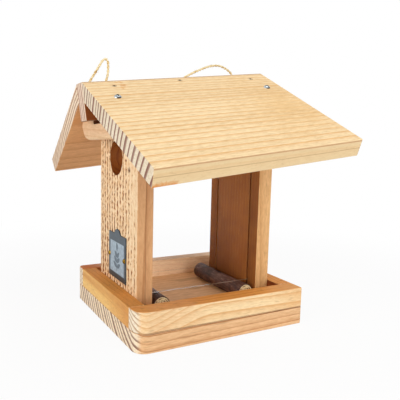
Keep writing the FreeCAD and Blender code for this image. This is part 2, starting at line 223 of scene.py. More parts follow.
def splinePoints(route, steps):
    curve = bpy.data.curves.new("route", "CURVE")
    curve.dimensions = "3D"
    curve.resolution_u = steps
    spline = curve.splines.new("NURBS")
    spline.points.add(len(route) - 1)
    for point, place in zip(spline.points, route):
        point.co = (*(Vector(place) * mm), 1.0)
    spline.order_u = 3
    spline.use_endpoint_u = True
    holder = bpy.data.objects.new("route", curve)
    line = bpy.data.meshes.new_from_object(holder)
    points = [vert.co.copy() for vert in line.vertices]
    bpy.data.objects.remove(holder)
    bpy.data.curves.remove(curve)
    bpy.data.meshes.remove(line)
    return points


def pathFrames(points):
    # Place, direction, side and distance at each point, with the side carried along untwisted
    side = Vector((0.3, 1, 0.2))                    # any start that lies across the twine
    distance = 0.0
    found = []
    for i, point in enumerate(points):
        ahead = (points[min(i + 1, len(points) - 1)] - points[max(i - 1, 0)]).normalized()
        side = (side - ahead * side.dot(ahead)).normalized()
        if i:
            distance += (point - points[i - 1]).length
        found.append((point, ahead, side.copy(), distance))
    return found


def plyLines(points):
    offset = (twine["diameter"] - twine["plyDiameter"]) / 2 * mm
    lines = []
    for start in (0.0, math.pi):
        line = []
        for point, ahead, side, distance in pathFrames(points):
            angle = start + 2 * math.pi * distance / (twine["pitch"] * mm)
            line.append(point + (side * math.cos(angle) + ahead.cross(side) * math.sin(angle)) * offset)
        lines.append(line)
    return lines


def tubeMesh(lines, radii, rim):
    # A round tube along each line of points, all as one mesh
    curve = bpy.data.curves.new("tube", "CURVE")
    curve.dimensions = "3D"
    curve.bevel_depth = 1.0
    curve.bevel_resolution = rim
    curve.use_fill_caps = True
    for line in lines:
        spline = curve.splines.new("POLY")
        spline.points.add(len(line) - 1)
        for i, (point, place) in enumerate(zip(spline.points, line)):
            point.co = (*place, 1.0)
            point.radius = radii[min(i, len(radii) - 1)]
    holder = bpy.data.objects.new("tube", curve)
    mesh = bpy.data.meshes.new_from_object(holder)
    bpy.data.objects.remove(holder)
    bpy.data.curves.remove(curve)
    return mesh


def sisalTwine():
    # Dry-spun sisal: matt straw fibres with browner ones laid in, and a soft pale edge
    material, node = startMaterial("sisalTwine")
    place = node("TexCoord", output="Object")
    speck = node("TexNoise", {}, {
        "Vector": place, "Scale": 1 / (twine["speck"] * mm), "Detail": 3.0, "Roughness": 0.6})
    blotch = node("TexNoise", {}, {
        "Vector": place, "Scale": 1 / (twine["blotch"] * mm), "Detail": 2.0})
    colour = node("ValToRGB", {}, [node("Math", multiplyAdd, (blotch, 0.6, speck))])
    rampStops(colour, twine["straw"])
    bump = node("Bump", {}, {"Strength": 0.6, "Distance": 0.15 * mm, "Height": speck})
    shader = node("BsdfPrincipled", {}, {
        "Base Color": colour, "Roughness": 0.9, "Sheen Weight": 0.25, "Normal": bump})
    node("OutputMaterial", {}, {"Surface": shader})
    return material


def knotLine(side):
    # An overhand knot, drawn tight, with the standing part led up the hole in the wall
    size = twine["knotSize"]
    middle = Vector(twine["knotAt"][side])
    top = Vector(twine["legTop"][side])
    rise = (top - middle).normalized()
    first, last = twine["knotTurn"]
    points = []
    for i in range(twine["knotSteps"] + 1):
        t = first + (last - first) * i / twine["knotSteps"]
        x = size * (math.sin(t) + 2 * math.sin(2 * t))
        y = size * (math.cos(t) - 2 * math.cos(2 * t))
        points.append(middle + Vector((x, y, -twine["knotDepth"] * size * math.sin(3 * t))))
    points += [middle + rise * lead for lead in twine["lead"]]
    points += [middle.lerp(top, share) for share in (0.4, 0.6, 0.8)]
    return splinePoints(points + [top], 8)


def twineHairs(path):
    # Loose fibre ends that stand off the lay, drawn thicker than real ones so that they show
    dice = random.Random(7)
    frames = pathFrames(path)
    lines = []
    while len(lines) < twine["hairs"]:
        point, ahead, side, _ = dice.choice(frames)
        angle = dice.uniform(0, 2 * math.pi)
        out = side * math.cos(angle) + ahead.cross(side) * math.sin(angle)
        run = ahead * dice.choice((-1, 1)) * dice.uniform(*twine["hairRun"])
        reach = dice.uniform(*twine["hairLength"]) * mm
        foot = point + out * twine["hairFoot"] * mm
        droop = Vector((0, 0, -twine["hairDroop"] * reach))
        tip = foot + (out * twine["hairLift"] + run).normalized() * reach + droop
        bend = foot.lerp(tip, 0.5) + out * twine["hairBend"] * reach
        if tip.z < cadBox[1].z - twine["hairRoom"] * mm:
            lines.append([foot, bend, tip])
    thick = twine["hairDiameter"] * mm
    return tubeMesh(lines, [thick / 2, 0.3 * thick, 0.02 * mm], 0)      # tapering to a point


def layTwine():
    sisal = sisalTwine()
    path = splinePoints(twine["route"], twine["steps"])
    length = pathFrames(path)[-1][3]
    ply = [twine["plyDiameter"] / 2 * mm]
    cord = makePiece("hangingTwine", tubeMesh(plyLines(path), ply, twine["rim"]), None, "twine",
                     ["hanging_cord"], sisal)
    hairs = makePiece("twineHairs", twineHairs(path), None, "twine", [], sisal)
    knots = []
    for side in (-1, 1):
        knots += plyLines(knotLine(side))
    ends = makePiece("twineKnots", tubeMesh(knots, ply, twine["rim"]), "feeder", "twine",
                     ["cord_ends"], sisal)
    for piece in (cord, hairs):
        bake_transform(piece)
    print("twine laid,", round(length, 4), "m")


layTwine()


# Boards: planed larch, each cut from its own place in the log
upright = Vector((0, 0, 1))
# joint: painted shade in the seam between boards, a near-black line
joint = dict(across=upright, width=1.05, waver=0.3, colour="#1C0C04", share=1.0)     # mm, between boards
railEnds = dict(endEarly="#F2E4CC", endLate="#A07654")
wallEnds = dict(endEarly="#D9A873", endLate="#A5734E")
cleatFaces = dict(early="#F4D4AA", late="#E6BD90", rings=(0.16, 0.0))


def paneGrooves(side):
    # Where the panes run, mm: the wood is shaded in there, most in front
    shades = ((-32.7, "#A07C5C"), (32.7, "#DEB890"))
    return [dict(at=(61.8 * side, y, 0), half=(2.5, 1.45, 1), colour=shade) for y, shade in shades]


# rings: per mm, and how that changes outwards. tints: facing, colour to multiply and perhaps a spot, as
# place, reach (mm) and share. covers: facing, colour, share. stainsAndShade: place, reach, colour, share,
# for real stains and for spots of painted shade
boards = dict(
    front_roof_slab=dict(
        grain=alongRoof, pith=slabPoint(front, 0, 247, 45), rings=(0.0665, 0.00023),
        early="#F2D7AA", late="#E0A55E", endEarly="#E4D5BC", endLate="#6E240C", fibre=0.95, wave=1.8,
        calm=(slabDown(front), 0.65),
        season=[(0.0, 0.0), (0.5, 0.04), (0.78, 0.4), (0.93, 1.0), (1.0, 0.0)],
        # tints: painted shade, the underside is darker brown
        tints=[(-slabUp(front), "#B06A32")], covers=[(slabDown(front), "#E7CC9E", 0.8)],
        stainsAndShade=[(slabPoint(front, -67.8, 5.4, 0), 3.4, "#DB9A50", 0.7),
                (slabPoint(front, -63.3, 5.0, 0), 4.2, "#DB9A50", 0.75),
                (slabPoint(front, -63.4, 12.6, 0), 6.0, "#D48C42", 0.9),
                (slabPoint(front, -66.4, 18.4, 0), 5.0, "#DB9A50", 0.75),
                (slabPoint(front, 75, 80, 0), 100.0, "#E6BE84", 0.9),
                # Painted orange glow along the lower edge of the eave at its left end
                *[(slabPoint(front, x, 160, 16.5), 6.5, "#D9822A", 0.9) for x in range(-105, -80, 4)],
                *[(slabPoint(front, x, fall, 0), 4.4, "#5E3A1E", 0.95)
                  for x, fall in ((-72.3, 12.7), (-1.9, 7.4), (79.2, 13.6))]],
        lines=[dict(at=slabPoint(front, 0, 160, 8.3), across=slabUp(front), facing=slabDown(front),
                    width=0.5, waver=2.0, colour="#A67C50", share=0.55),
               dict(at=slabPoint(front, 0, 160, 1.4), across=slabUp(front), facing=slabDown(front),
                    width=0.9, waver=0.9, colour="#BE8358", share=0.75),
               dict(at=slabPoint(front, 0, 0.6, 0), across=slabDown(front), facing=slabUp(front),
                    width=1.6, waver=0.8, colour="#8C5228", share=0.85)]),
    back_roof_slab=dict(
        grain=alongRoof, pith=slabPoint(back, 0, 20, 420), rings=(0.24, 0.0),
        early="#F3C68F", late="#DCA367", endEarly="#E6D0B4", endLate="#8A4626",
        # tints: painted warm shade, the underside a little warmer
        tints=[(-slabUp(back), "#F8E8DC")], fibre=1.0),
    ridge_board=dict(
        grain=alongRoof, pith=ridgeTop + roofTurn @ Vector((0, 220, -25)), rings=(0.19, 0.0),
        early="#F3DDB6", late="#DDB585", endEarly="#E6CEB6", endLate="#84402A",
        # tints: painted shade, the front face, back face and underside darker brown
        tints=[(roofTurn @ Vector((0, -1, 0)), "#A8683A"), (roofTurn @ Vector((0, 1, 0)), "#D9B080"),
               (roofTurn @ Vector((0, 0, -1)), "#7A4E30")]),
    left_cleat=dict(
        grain=roofTurn @ Vector((0, 1, 0.05)), pith=(-120, 0, 130), **cleatFaces,
        # Painted shade: the ends are dark brown, for the shaded notch under the slab
        endEarly="#8A5030", endLate="#6A3A1E", tints=[((-0.99, 0, 0.12), "#EEE3E0")]),
    right_cleat=dict(
        grain=roofTurn @ Vector((0, 1, -0.05)), pith=(120, 0, 130), **cleatFaces,
        endEarly="#E7CBA8", endLate="#C79A72"),
    left_wall=dict(
        grain=Vector((0, 0.01, 1)), pith=(-29, 70, 0), rings=(0.19, 0.0),
        early="#E0AE7C", late="#B67C4A", **wallEnds, grooves=paneGrooves(-1), bore=(-67, 8, 165),
        sawn=(-1, 0, 0), sawnStains=[((-75, -27, 155), 6.0, "#80583A", 0.95)],
        lines=[dict(at=(-66.6, -48, 0), across=Vector((1, 0, 0)), facing=(0, -1, 0),
                    width=0.6, waver=1.2, colour="#8E5C38", share=0.6)]),
    right_wall=dict(
        grain=Vector((0, -0.01, 1)), pith=(96, 60, 0), rings=(0.22, 0.0),
        early="#E4B57C", late="#D09A5E", **wallEnds, grooves=paneGrooves(1), bore=(67, 0, 165),
        sawn=(1, 0, 0), fibre=1.0, ticks=0.22, canal=(6.0, 1.6, 1.6),
        # tints: painted shade, the inner face darker brown, more so round two spots towards the front
        tints=[((-1, 0, 0), "#C9A066"), ((-1, 0, 0), "#B8A488", (59, -15, 20), 130.0, 0.9),
               ((-1, 0, 0), "#C4B294", (59, -40, 115), 80.0, 0.65)]),
    base_board=dict(
        grain=Vector((1, 0, 0.012)), pith=(0, -130, 120), rings=(0.186, -0.000094),
        early="#E8BD8E", late="#B97842", endEarly="#F6E4C8", endLate="#6A2204",
        fibre=0.9, ticks=0.32, canal=(34, 10, 1.5),
        tints=[(upright, "#FFF4E0")], covers=[(upright, "#F4D0A4", 0.6)],
        lines=[dict(joint, at=(0, -87, 18), facing=(0, -1, 0))]),
    front_rail=dict(
        grain=Vector((1, 0, -0.02)), pith=(0, -52, 14), rings=(0.24, 0.0), bow=(-15, -95, 22),
        early="#F5D9AA", late="#DDA464", endEarly="#F2E4CC", endLate="#BC9670",
        # tints: painted warm shade under the roof, the top darker and more orange
        ticks=0.25, canal=(9, 5, 1.2), tints=[(upright, "#F8C47C")],
        stainsAndShade=[((88, -87, 30), 60.0, "#E3AE72", 0.6), ((-72, -87, 22), 70.0, "#E7B98A", 0.6)],
        lines=[dict(joint, at=(0, 0, 18))]),
    back_rail=dict(
        grain=Vector((1, 0, -0.05)), pith=(0, 50, 60), rings=(0.24, 0.0),
        early="#F0CE9C", late="#DCA76C", **railEnds,
        covers=[((0, -1, 0), "#EFCDB0", 0.5), (upright, "#F6DAC4", 0.7)],
        # Painted shade in the corner by the left wall, and painted warm shade over the top towards the left
        stainsAndShade=[((-74, 71.5, 30), 14.0, "#8A4A1C", 0.9), ((-84, 79, 36), 90.0, "#DC7A26", 0.95)],
        lines=[dict(joint, at=(0, 87, 18), facing=(0, 1, 0))]),
    left_rail=dict(
        grain=Vector((0, 1, 0.04)), pith=(-40, 0, 5), rings=(0.25, 0.0),
        early="#EDC075", late="#DAA055", **railEnds, ticks=0.3, canal=(3.6, 1.6, 1.4),
        # tints: painted warm shade under the roof, the top darker and more orange
        tints=[(upright, "#F7D6AC")], stainsAndShade=[((-90, -75, 26), 100.0, "#D3914A", 0.8)],
        lines=[dict(at=(-90.7, 0, 34), across=upright, facing=(-1, 0, 0),
                    width=6.0, waver=2.0, colour="#CB8A44", share=0.7)]),
    right_rail=dict(
        grain=Vector((0, 1, -0.04)), pith=(45, 0, 60), rings=(0.25, 0.0),
        early="#EBC088", late="#D3985A", **railEnds, ticks=0.4, canal=(4.5, 9.0, 1.4),
        # tints: painted shade, the top darker and more orange, the inner face dark brown
        tints=[(upright, "#F8D49C"), ((-1, 0, 0), "#8E5624")], lines=[dict(joint, at=(0, 0, 18))]),
)
larch = dict(
    wave=3.0, waveLength=38.0, drawnOut=0.08,      # mm, how far and over what distance the rings wander
    spellRate=0.55, spellShare=0.6,                # wide and narrow years, per year
    weakest=(0.65, 0.85),                          # the faintest year, on long faces and on cut ends
    season=[(0.0, 0.0), (0.45, 0.06), (0.76, 0.45), (0.92, 1.0), (1.0, 0.0)],      # a year, on long faces
    endSeason=[(0.0, 0.0), (0.53, 0.02), (0.68, 0.8), (0.92, 1.0), (0.98, 0.0)],   # and on cut ends
    endTurn=(0.55, 0.85),                          # how squarely a cut end faces along the grain
    fibreWidth=1.4, fibreLength=8.0,               # mm, drawn coarser than real fibre so that it shows
    fibreShare=0.75, fibreDark=(0.85, 0.77, 0.66, 1.0), fibreLight=(1.11, 1.15, 1.20, 1.0),
    patch=60.0, patchShare=0.5,
    canal=(3.6, 1.4, 1.4), canalFrom=(0.60, 0.74), tick="#7E4A22", ticks=0.10,     # mm, drawn coarser too
    boreReach=17.9, boreShade="#B5854A",           # mm
    spotRagged=0.35, spotEdge=(1.2, 0.5),          # of a spot's reach
    roughness=(0.48, 0.78), lateRise=0.5,
)
sawnSide = dict(
    base="#E8BE8E", light="#FCE6C2", halo="#D2985C", fleck="#854A1E",
    column=7.5, inColumn=(0.08, 0.45), columnShare=0.24,     # mm, the rough columns
    wobble=2.2, shake=(14.0, 20.0),                # mm
    tear=(9.0, 1.8), pit=(4.0, 2.5),               # mm along and across the grain
    haloFrom=(0.56, 0.74, 0.0, 0.8), fleckFrom=(0.70, 0.80), paleFrom=(0.36, 0.62),
    smoothFront=(-16.0, -38.0, -0.13), roughFoot=(120.0, 60.0, 0.06),     # mm, and by how much
    sink=-2.5, relief=4.0,
)


def facingShare(node, coords, toward, low=0.6, high=0.95):
    # 1 where the surface faces that way, falling to 0 as it turns aside
    turned = node("VectorMath", dotWith, (coords.outputs["Normal"], toward), "Value")
    return node("MapRange", {}, (turned, low, high))


def growthRings(node, local, look):
    # Rings round the pith, wandering along the board, some years stronger than others
    drawn = node("VectorMath", multiply, (local, (larch["drawnOut"], 1, 1)))
    sway = node("TexNoise", {}, {"Vector": drawn, "Scale": 1 / larch["waveLength"], "Detail": 2.0})
    wander = look.get("wave", larch["wave"])
    swayed = node("VectorMath", multiplyAdd, (
        sway.node.outputs["Color"], (0, wander, wander), local))
    if "bow" in look:
        # The grain dives towards one end, mm along the board and off it
        start, stop, dive = look["bow"]
        along = node("SeparateXYZ", {}, [local], "X")
        dip = node("MapRange", smoothly, (along, start, stop, 0.0, dive))
        swayed = node("VectorMath", add, (swayed, node("CombineXYZ", {}, {"Z": dip})))
    across = node("VectorMath", multiply, (swayed, (0, 1, 1)))
    radius = node("VectorMath", lengthOf, [across], "Value")
    rate = node("Math", multiplyAdd, (radius, look["rings"][1], look["rings"][0]))
    even = node("Math", multiply, (rate, radius))
    spells = node("TexNoise", oneWay, {"W": even, "Scale": larch["spellRate"], "Detail": 1.0})
    phase = node("Math", multiplyAdd, (spells, larch["spellShare"], even))
    ring = node("Math", {"operation": "FRACT"}, [phase])
    year = node("Math", {"operation": "FLOOR"}, [phase])
    vigour = node("TexWhiteNoise", oneWay, {"W": year})
    found = []
    for least, stops in zip(larch["weakest"], (look.get("season", larch["season"]), larch["endSeason"])):
        season = node("ValToRGB", {}, [ring])
        rampStops(season, stops)
        strength = node("MapRange", {}, (vigour, 0.0, 1.0, least))
        found.append(node("Math", multiply, (season, strength)))
    return found[0], found[1], drawn, sway, swayed


def perMm(sizes):
    return (1 / sizes[0], 1 / sizes[1], 0)


def sawnFace(node, place, swayed):
    # Rough-sawn side: torn pale wood, and roundish brown flecks in wobbling columns along the late lines
    bent = node("VectorMath", multiply, (swayed, perMm(sawnSide["shake"])))
    shaken = node("TexNoise", {}, {"Vector": bent, "Scale": 1.0, "Detail": 2.0}, "Color")
    wobbly = node("VectorMath", multiplyAdd, (shaken, (0, 2 * sawnSide["wobble"], 0), swayed))
    sideways = node("SeparateXYZ", {}, [wobbly], "Y")
    column = node("Math", pingPong, (sideways, sawnSide["column"] / 2))
    edges = [share * sawnSide["column"] for share in sawnSide["inColumn"]]
    inColumn = node("MapRange", smoothly, (column, *edges))
    torn = node("VectorMath", multiply, (wobbly, perMm(sawnSide["tear"])))
    tear = node("TexNoise", {}, {"Vector": torn, "Scale": 1.0, "Detail": 3.0, "Roughness": 0.6})
    pitted = node("VectorMath", multiply, (wobbly, perMm(sawnSide["pit"])))
    pit = node("TexNoise", {}, {"Vector": pitted, "Scale": 1.0, "Detail": 1.5})
    lined = node("Math", multiplyAdd, (inColumn, sawnSide["columnShare"], pit))
    # The front fifth of the wall is smoother, its foot rougher
    parts = node("SeparateXYZ", {}, [place]).node.outputs
    low, high, most = sawnSide["smoothFront"]
    smoother = node("MapRange", smoothly, (parts["Y"], low * mm, high * mm, 0.0, most))
    low, high, most = sawnSide["roughFoot"]
    rougher = node("MapRange", {}, (parts["Z"], low * mm, high * mm, 0.0, most))
    evened = node("Math", add, (smoother, rougher))
    deep = node("Math", add, (lined, evened))
    halo = node("MapRange", {}, (deep, *sawnSide["haloFrom"]))
    fleck = node("MapRange", {}, (deep, *sawnSide["fleckFrom"]))
    pale = node("MapRange", {}, (tear, *sawnSide["paleFrom"]))
    ground = node("Mix", rgba, {0: pale, 6: sawnSide["base"], 7: sawnSide["light"]}, 2)
    warm = node("Mix", rgba, {0: halo, 6: ground, 7: sawnSide["halo"]}, 2)
    flecked = node("Mix", rgba, {0: fleck, 6: warm, 7: sawnSide["fleck"]}, 2)
    sunk = node("Math", multiplyAdd, (fleck, sawnSide["sink"], tear))
    return flecked, node("Math", multiply, (sunk, sawnSide["relief"]))


def markLine(node, coords, sway, mark, colour):
    # A thin line where a plane meets the surface: a late ring, or painted shade in the joint between boards
    width, waver = mark["width"] * mm, mark["waver"] * mm
    apart = node("VectorMath", subtract, (coords.outputs["Object"], Vector(mark["at"]) * mm))
    off = node("VectorMath", dotWith, (apart, mark["across"]), "Value")
    wavy = node("MapRange", {}, (sway, 0.0, 1.0, -waver, waver))
    near = node("Math", absolute, [node("Math", add, (off, wavy))])
    share = node("MapRange", {}, (near, width, 0.2 * width, 0.0, mark["share"]))
    if "facing" in mark:
        seen = facingShare(node, coords, mark["facing"], 0.7, 0.9)
    else:
        # Only on upright faces
        level = node("SeparateXYZ", {}, [coords.outputs["Normal"]], "Z")
        seen = node("MapRange", {}, (node("Math", absolute, [level]), 0.9, 0.6))
    drawn = node("Math", multiply, (share, seen))
    return node("Mix", rgba, {0: drawn, 6: colour, 7: mark["colour"]}, 2)


def nearShare(node, place, middle, reach, most):
    # A ragged spot round one place, strongest at its middle
    reach = reach * mm
    apart = node("VectorMath", distanceTo, (place, Vector(middle) * mm), "Value")
    ragged = node("TexNoise", {}, {
        "Vector": place, "Scale": 1 / (larch["spotRagged"] * reach), "Detail": 3.0})
    far = node("Math", multiplyAdd, (ragged, reach, apart))
    return node("MapRange", {}, (far, *[share * reach for share in larch["spotEdge"]], 0.0, most))


def stainedAndShaded(node, place, colour, middle, reach, tint, most):
    share = nearShare(node, place, middle, reach, most)
    return node("Mix", rgba, {0: share, 6: colour, 7: tint}, 2)


def larchBoard(name, look):
    # Larch: pale early wood that darkens to a thin orange late line and stops sharply. Planed faces are
    # satin with short fibre, cut ends show cream and mauve-brown rings, sawn faces are rough and flecked
    material, node = startMaterial("larch_" + name)
    coords = node("TexCoord").node
    place = coords.outputs["Object"]
    turned = Vector((1, 0, 0)).rotation_difference(look["grain"]).to_euler()
    local = node("Mapping", {"vector_type": "TEXTURE"}, {
        "Vector": place, "Location": Vector(look["pith"]) * mm, "Rotation": turned,
        "Scale": (mm, mm, mm)})                    # mm from the pith, with the grain along x
    late, endLate, drawn, sway, swayed = growthRings(node, local, look)

    # Long faces, with their tints, covers, stains and painted shade, and cut ends
    face = node("Mix", rgba, {0: late, 6: look["early"], 7: look["late"]}, 2)
    end = node("Mix", rgba, {0: endLate, 6: look["endEarly"], 7: look["endLate"]}, 2)
    for toward, tint, *spot in look.get("tints", []):
        share = facingShare(node, coords, toward)
        if spot:
            share = node("Math", multiply, (share, nearShare(node, place, *spot)))
        face = node("Mix", multiplied, {0: share, 6: face, 7: tint}, 2)
    for toward, cover, most in look.get("covers", []):
        share = node("Math", multiply, (facingShare(node, coords, toward), most))
        face = node("Mix", rgba, {0: share, 6: face, 7: cover}, 2)
    for stain in look.get("stainsAndShade", []):
        face = stainedAndShaded(node, place, face, *stain)
    facing = node("VectorMath", dotWith, (
        coords.outputs["Normal"], look["grain"].normalized()), "Value")
    cut = node("Math", absolute, [facing])
    ended = node("MapRange", smoothly, (cut, *larch["endTurn"]))
    colour = node("Mix", rgba, {0: ended, 6: face, 7: end}, 2)

    # Fibre, short resin canals and slow colour changes over the board
    width = larch["fibreWidth"]
    strands = node("VectorMath", multiply, (local, (width / larch["fibreLength"], 1, 1)))
    fibre = node("TexNoise", {}, {
        "Vector": strands, "Scale": 1 / width, "Detail": 2.0, "Roughness": 0.6})
    patch = node("TexNoise", {}, {"Vector": drawn, "Scale": 1 / larch["patch"], "Detail": 2.0})
    mixed = node("Math", multiplyAdd, (patch, larch["patchShare"], fibre))
    light = node("MapRange", {}, (mixed, 0.5, 1.0))
    shading = node("Mix", rgba, {0: light, 6: larch["fibreDark"], 7: larch["fibreLight"]}, 2)
    canals = node("VectorMath", divide, (local, look.get("canal", larch["canal"])))
    flick = node("TexNoise", {}, {"Vector": canals, "Scale": 1.0, "Detail": 1.0})
    ticks = look.get("ticks", larch["ticks"])
    tick = node("MapRange", {}, (flick, *larch["canalFrom"], 0.0, ticks))
    colour = node("Mix", rgba, {0: tick, 6: colour, 7: larch["tick"]}, 2)
    height = node("Math", multiplyAdd, (late, larch["lateRise"], fibre))

    for mark in look.get("lines", []):
        colour = markLine(node, coords, sway, mark, colour)
    if "bore" in look:
        # Inside the bored hole the wood is darker: painted shade
        apart = node("VectorMath", subtract, (place, Vector(look["bore"]) * mm))
        flat = node("VectorMath", multiply, (apart, (0, 1, 1)))
        reach = node("VectorMath", lengthOf, [flat], "Value")
        inside = node("Math", lessThan, (reach, larch["boreReach"] * mm))
        colour = node("Mix", multiplied, {0: inside, 6: colour, 7: larch["boreShade"]}, 2)
    # Painted shade in the pane grooves
    for groove in look.get("grooves", []):
        apart = node("VectorMath", subtract, (place, Vector(groove["at"]) * mm))
        halves = node("VectorMath", divide, (apart, Vector(groove["half"]) * mm))
        sized = node("VectorMath", absolute, [halves])
        parts = node("SeparateXYZ", {}, [sized]).node.outputs
        furthest = node("Math", maximum, (parts["X"], parts["Y"]))
        inside = node("Math", lessThan, (furthest, 1.0))
        colour = node("Mix", multiplied, {0: inside, 6: colour, 7: groove["colour"]}, 2)
    if "sawn" in look:
        rough = facingShare(node, coords, look["sawn"], 0.7, 0.95)
        flecked, rise = sawnFace(node, place, swayed)
        colour = node("Mix", rgba, {0: rough, 6: colour, 7: flecked}, 2)
        for stain in look.get("sawnStains", []):
            colour = stainedAndShaded(node, place, colour, *stain)
        height = node("Mix", {}, {0: rough, 2: height, 3: rise})

    strength = look.get("fibre", larch["fibreShare"])
    if "calm" in look:
        # One face is planed smoother than the rest
        toward, less = look["calm"]
        strength = node("MapRange", {}, (
            facingShare(node, coords, toward), 0.0, 1.0, strength, strength * (1 - less)))
    finished = node("Mix", multiplied, {0: strength, 6: colour, 7: shading}, 2)
    gloss = node("MapRange", {}, (fibre, 0.0, 1.0, *larch["roughness"]))
    bump = node("Bump", {}, {"Strength": 0.35, "Distance": 0.12 * mm, "Height": height})
    shader = node("BsdfPrincipled", {}, {
        "Base Color": finished, "Roughness": gloss, "Normal": bump, "Specular IOR Level": 0.3})
    node("OutputMaterial", {}, {"Surface": shader})
    return material


for name, look in boards.items():
    dress(name, larchBoard(name, look))
print("boards dressed")


# Panes: clear acrylic sheet
acrylic = dict(
    # IOR far below 1.49, as the panes barely show
    # edge: colour of the sawn edges, a painted reflection of the wood round them
    front_pane=dict(ior=1.06, edge="#98806C", edgeShare=0.8),
    back_pane=dict(ior=1.01, edge="#94704F", edgeShare=0.15),
)
acrylicFinish = dict(smear=25.0, haze=0.03, sawn=0.4)      # mm, roughness where smeared and on the edges


def clearAcrylic(name, look):
    # Extruded acrylic: clear and glossy, with matt sawn edges whose brown is a painted reflection of the
    # wood round them
    material, node = startMaterial("clearAcrylic_" + name)
    coords = node("TexCoord").node
    level = node("SeparateXYZ", {}, [coords.outputs["Normal"]], "Z")
    edge = node("Math", {"operation": "GREATER_THAN"}, (
        node("Math", absolute, [level]), 0.5))
    smear = node("TexNoise", {}, {
        "Vector": coords.outputs["Object"], "Scale": 1 / (acrylicFinish["smear"] * mm), "Detail": 2.0})
    haze = node("MapRange", {}, (smear, 0.0, 1.0, 0.0, acrylicFinish["haze"]))
    clear = node("BsdfPrincipled", {}, {
        "Base Color": "#FFFFFF", "Roughness": haze, "IOR": look["ior"], "Transmission Weight": 1.0})
    cut = node("BsdfPrincipled", {}, {
        "Base Color": look["edge"], "Roughness": acrylicFinish["sawn"]})
    dull = node("Math", multiply, (edge, look["edgeShare"]))
    sheet = node("MixShader", {}, (dull, clear, cut))
    shadow = node("LightPath", output="Is Shadow Ray")
    through = node("MixShader", {}, (shadow, sheet, node("BsdfTransparent")))
    node("OutputMaterial", {}, {"Surface": through})
    return material


for name, look in acrylic.items():
    dress(name, clearAcrylic(name, look))


# Fasteners and pins
metals = dict(
    zincScrews=dict(nodes=["wall_screws", "twig_screws"], colours=("#9C9FA6", "#D9DCE2"),
                    roughness=(0.22, 0.42), grain=1.2),
    panHeadScrews=dict(nodes=["cleat_screws"], colours=("#8F979A", "#C4CCCE"), roughness=(0.14, 0.30),
                       grain=1.2, paintedShade="#261A12", domeRadius=3.88,      # mm
                       domes=[slabPoint(side, x, 37.6, 1.68)
                              for side in (front, back) for x in (-78.45, 83.45)]),
    steelBrads=dict(nodes=["ridge_brads", "rail_brads", "wall_brad"], colours=("#0E0A08", "#2E241C"),
                    roughness=(0.40, 0.65), grain=0.8),
    brassPins=dict(nodes=["plate_pins"], colours=("#4E380E", "#A07E2C"), roughness=(0.18, 0.40), grain=1.6),
)
tarnishAndShade = dict(
    colourFrom=(0.35, 0.60), roughFrom=(0.7, 0.3),
    recess=(0.985, 0.93), shank=(1.1, 1.5),        # where painted shade lies, of the dome's radius
    foot=(0.45, 0.80),                             # and how far a surface there faces down the slope
)


def platedMetal(name, look):
    # Plated or bare metal: bright where it is rubbed, duller where it has tarnished
    material, node = startMaterial(name)
    coords = node("TexCoord").node
    tarnish = node("TexNoise", {}, {
        "Vector": coords.outputs["Object"], "Scale": 1 / (look["grain"] * mm), "Detail": 3.0})
    colour = node("ValToRGB", {}, [tarnish])
    rampStops(colour, list(zip(tarnishAndShade["colourFrom"], look["colours"])))
    if "domes" in look:
        # Painted shade in the cross recess, which lies inside the dome, and on the shank; a painted dark
        # reflection under the lower edge
        radius = look["domeRadius"] * mm
        nearest = 1.0
        for centre in look["domes"]:
            apart = node("VectorMath", distanceTo, (coords.outputs["Object"], centre * mm), "Value")
            nearest = node("Math", minimum, (nearest, apart))
        darkShare, shank = [
            node("MapRange", {}, (nearest, *[share * radius for share in tarnishAndShade[part]]))
            for part in ("recess", "shank")]
        feet = [facingShare(node, coords, slabDown(side), *tarnishAndShade["foot"]) for side in (front, back)]
        for share in (*feet, shank):
            darkShare = node("Math", maximum, (darkShare, share))
        colour = node("Mix", rgba, {0: darkShare, 6: colour, 7: look["paintedShade"]}, 2)
    gloss = node("MapRange", {}, (tarnish, *tarnishAndShade["roughFrom"], *look["roughness"]))
    bump = node("Bump", {}, {"Strength": 0.15, "Distance": 0.05 * mm, "Height": tarnish})
    shader = node("BsdfPrincipled", {}, {
        "Base Color": colour, "Metallic": 1.0, "Roughness": gloss, "Normal": bump})
    node("OutputMaterial", {}, {"Surface": shader})
    return material


for name, look in metals.items():
    metal = platedMetal(name, look)
    for nodeName in look["nodes"]:
        dress(nodeName, metal)
print("panes and metal dressed")


# Twigs: lengths of branch with the bark on, flat underneath
twigs = dict(
    radius=9.0, segments=48, rings=60, rim=0.8,     # mm
    swell=0.022, swellRate=(0.05, 0.03), wrinkle=0.014, wrinkleRate=(0.45, 0.05), shrink=0.965,    # per mm
    bow=0.35, sunk=0.05, flat=0.02,                 # mm off straight, below the top and above the bottom
    ridge=1.8182, drawnOut=0.12, bloom=9.0,          # mm, the bark's wrinkles and grey patches
    bark=[(0.62, "#301A12"), (0.86, "#583426"), (1.0, "#745242")],
    pore=4.5, poreSize=(0.16, 0.08, 0.0, 0.7), poreColour="#8D7463",      # mm apart
    cut=[(0.42, "#54361C"), (0.50, "#BE925C"), (0.58, "#FAEBBC")],
    speck=2.2, year=1.1, yearShare=0.12, pith=(1.4, 0.8), pithColour="#7A5230",     # mm
)


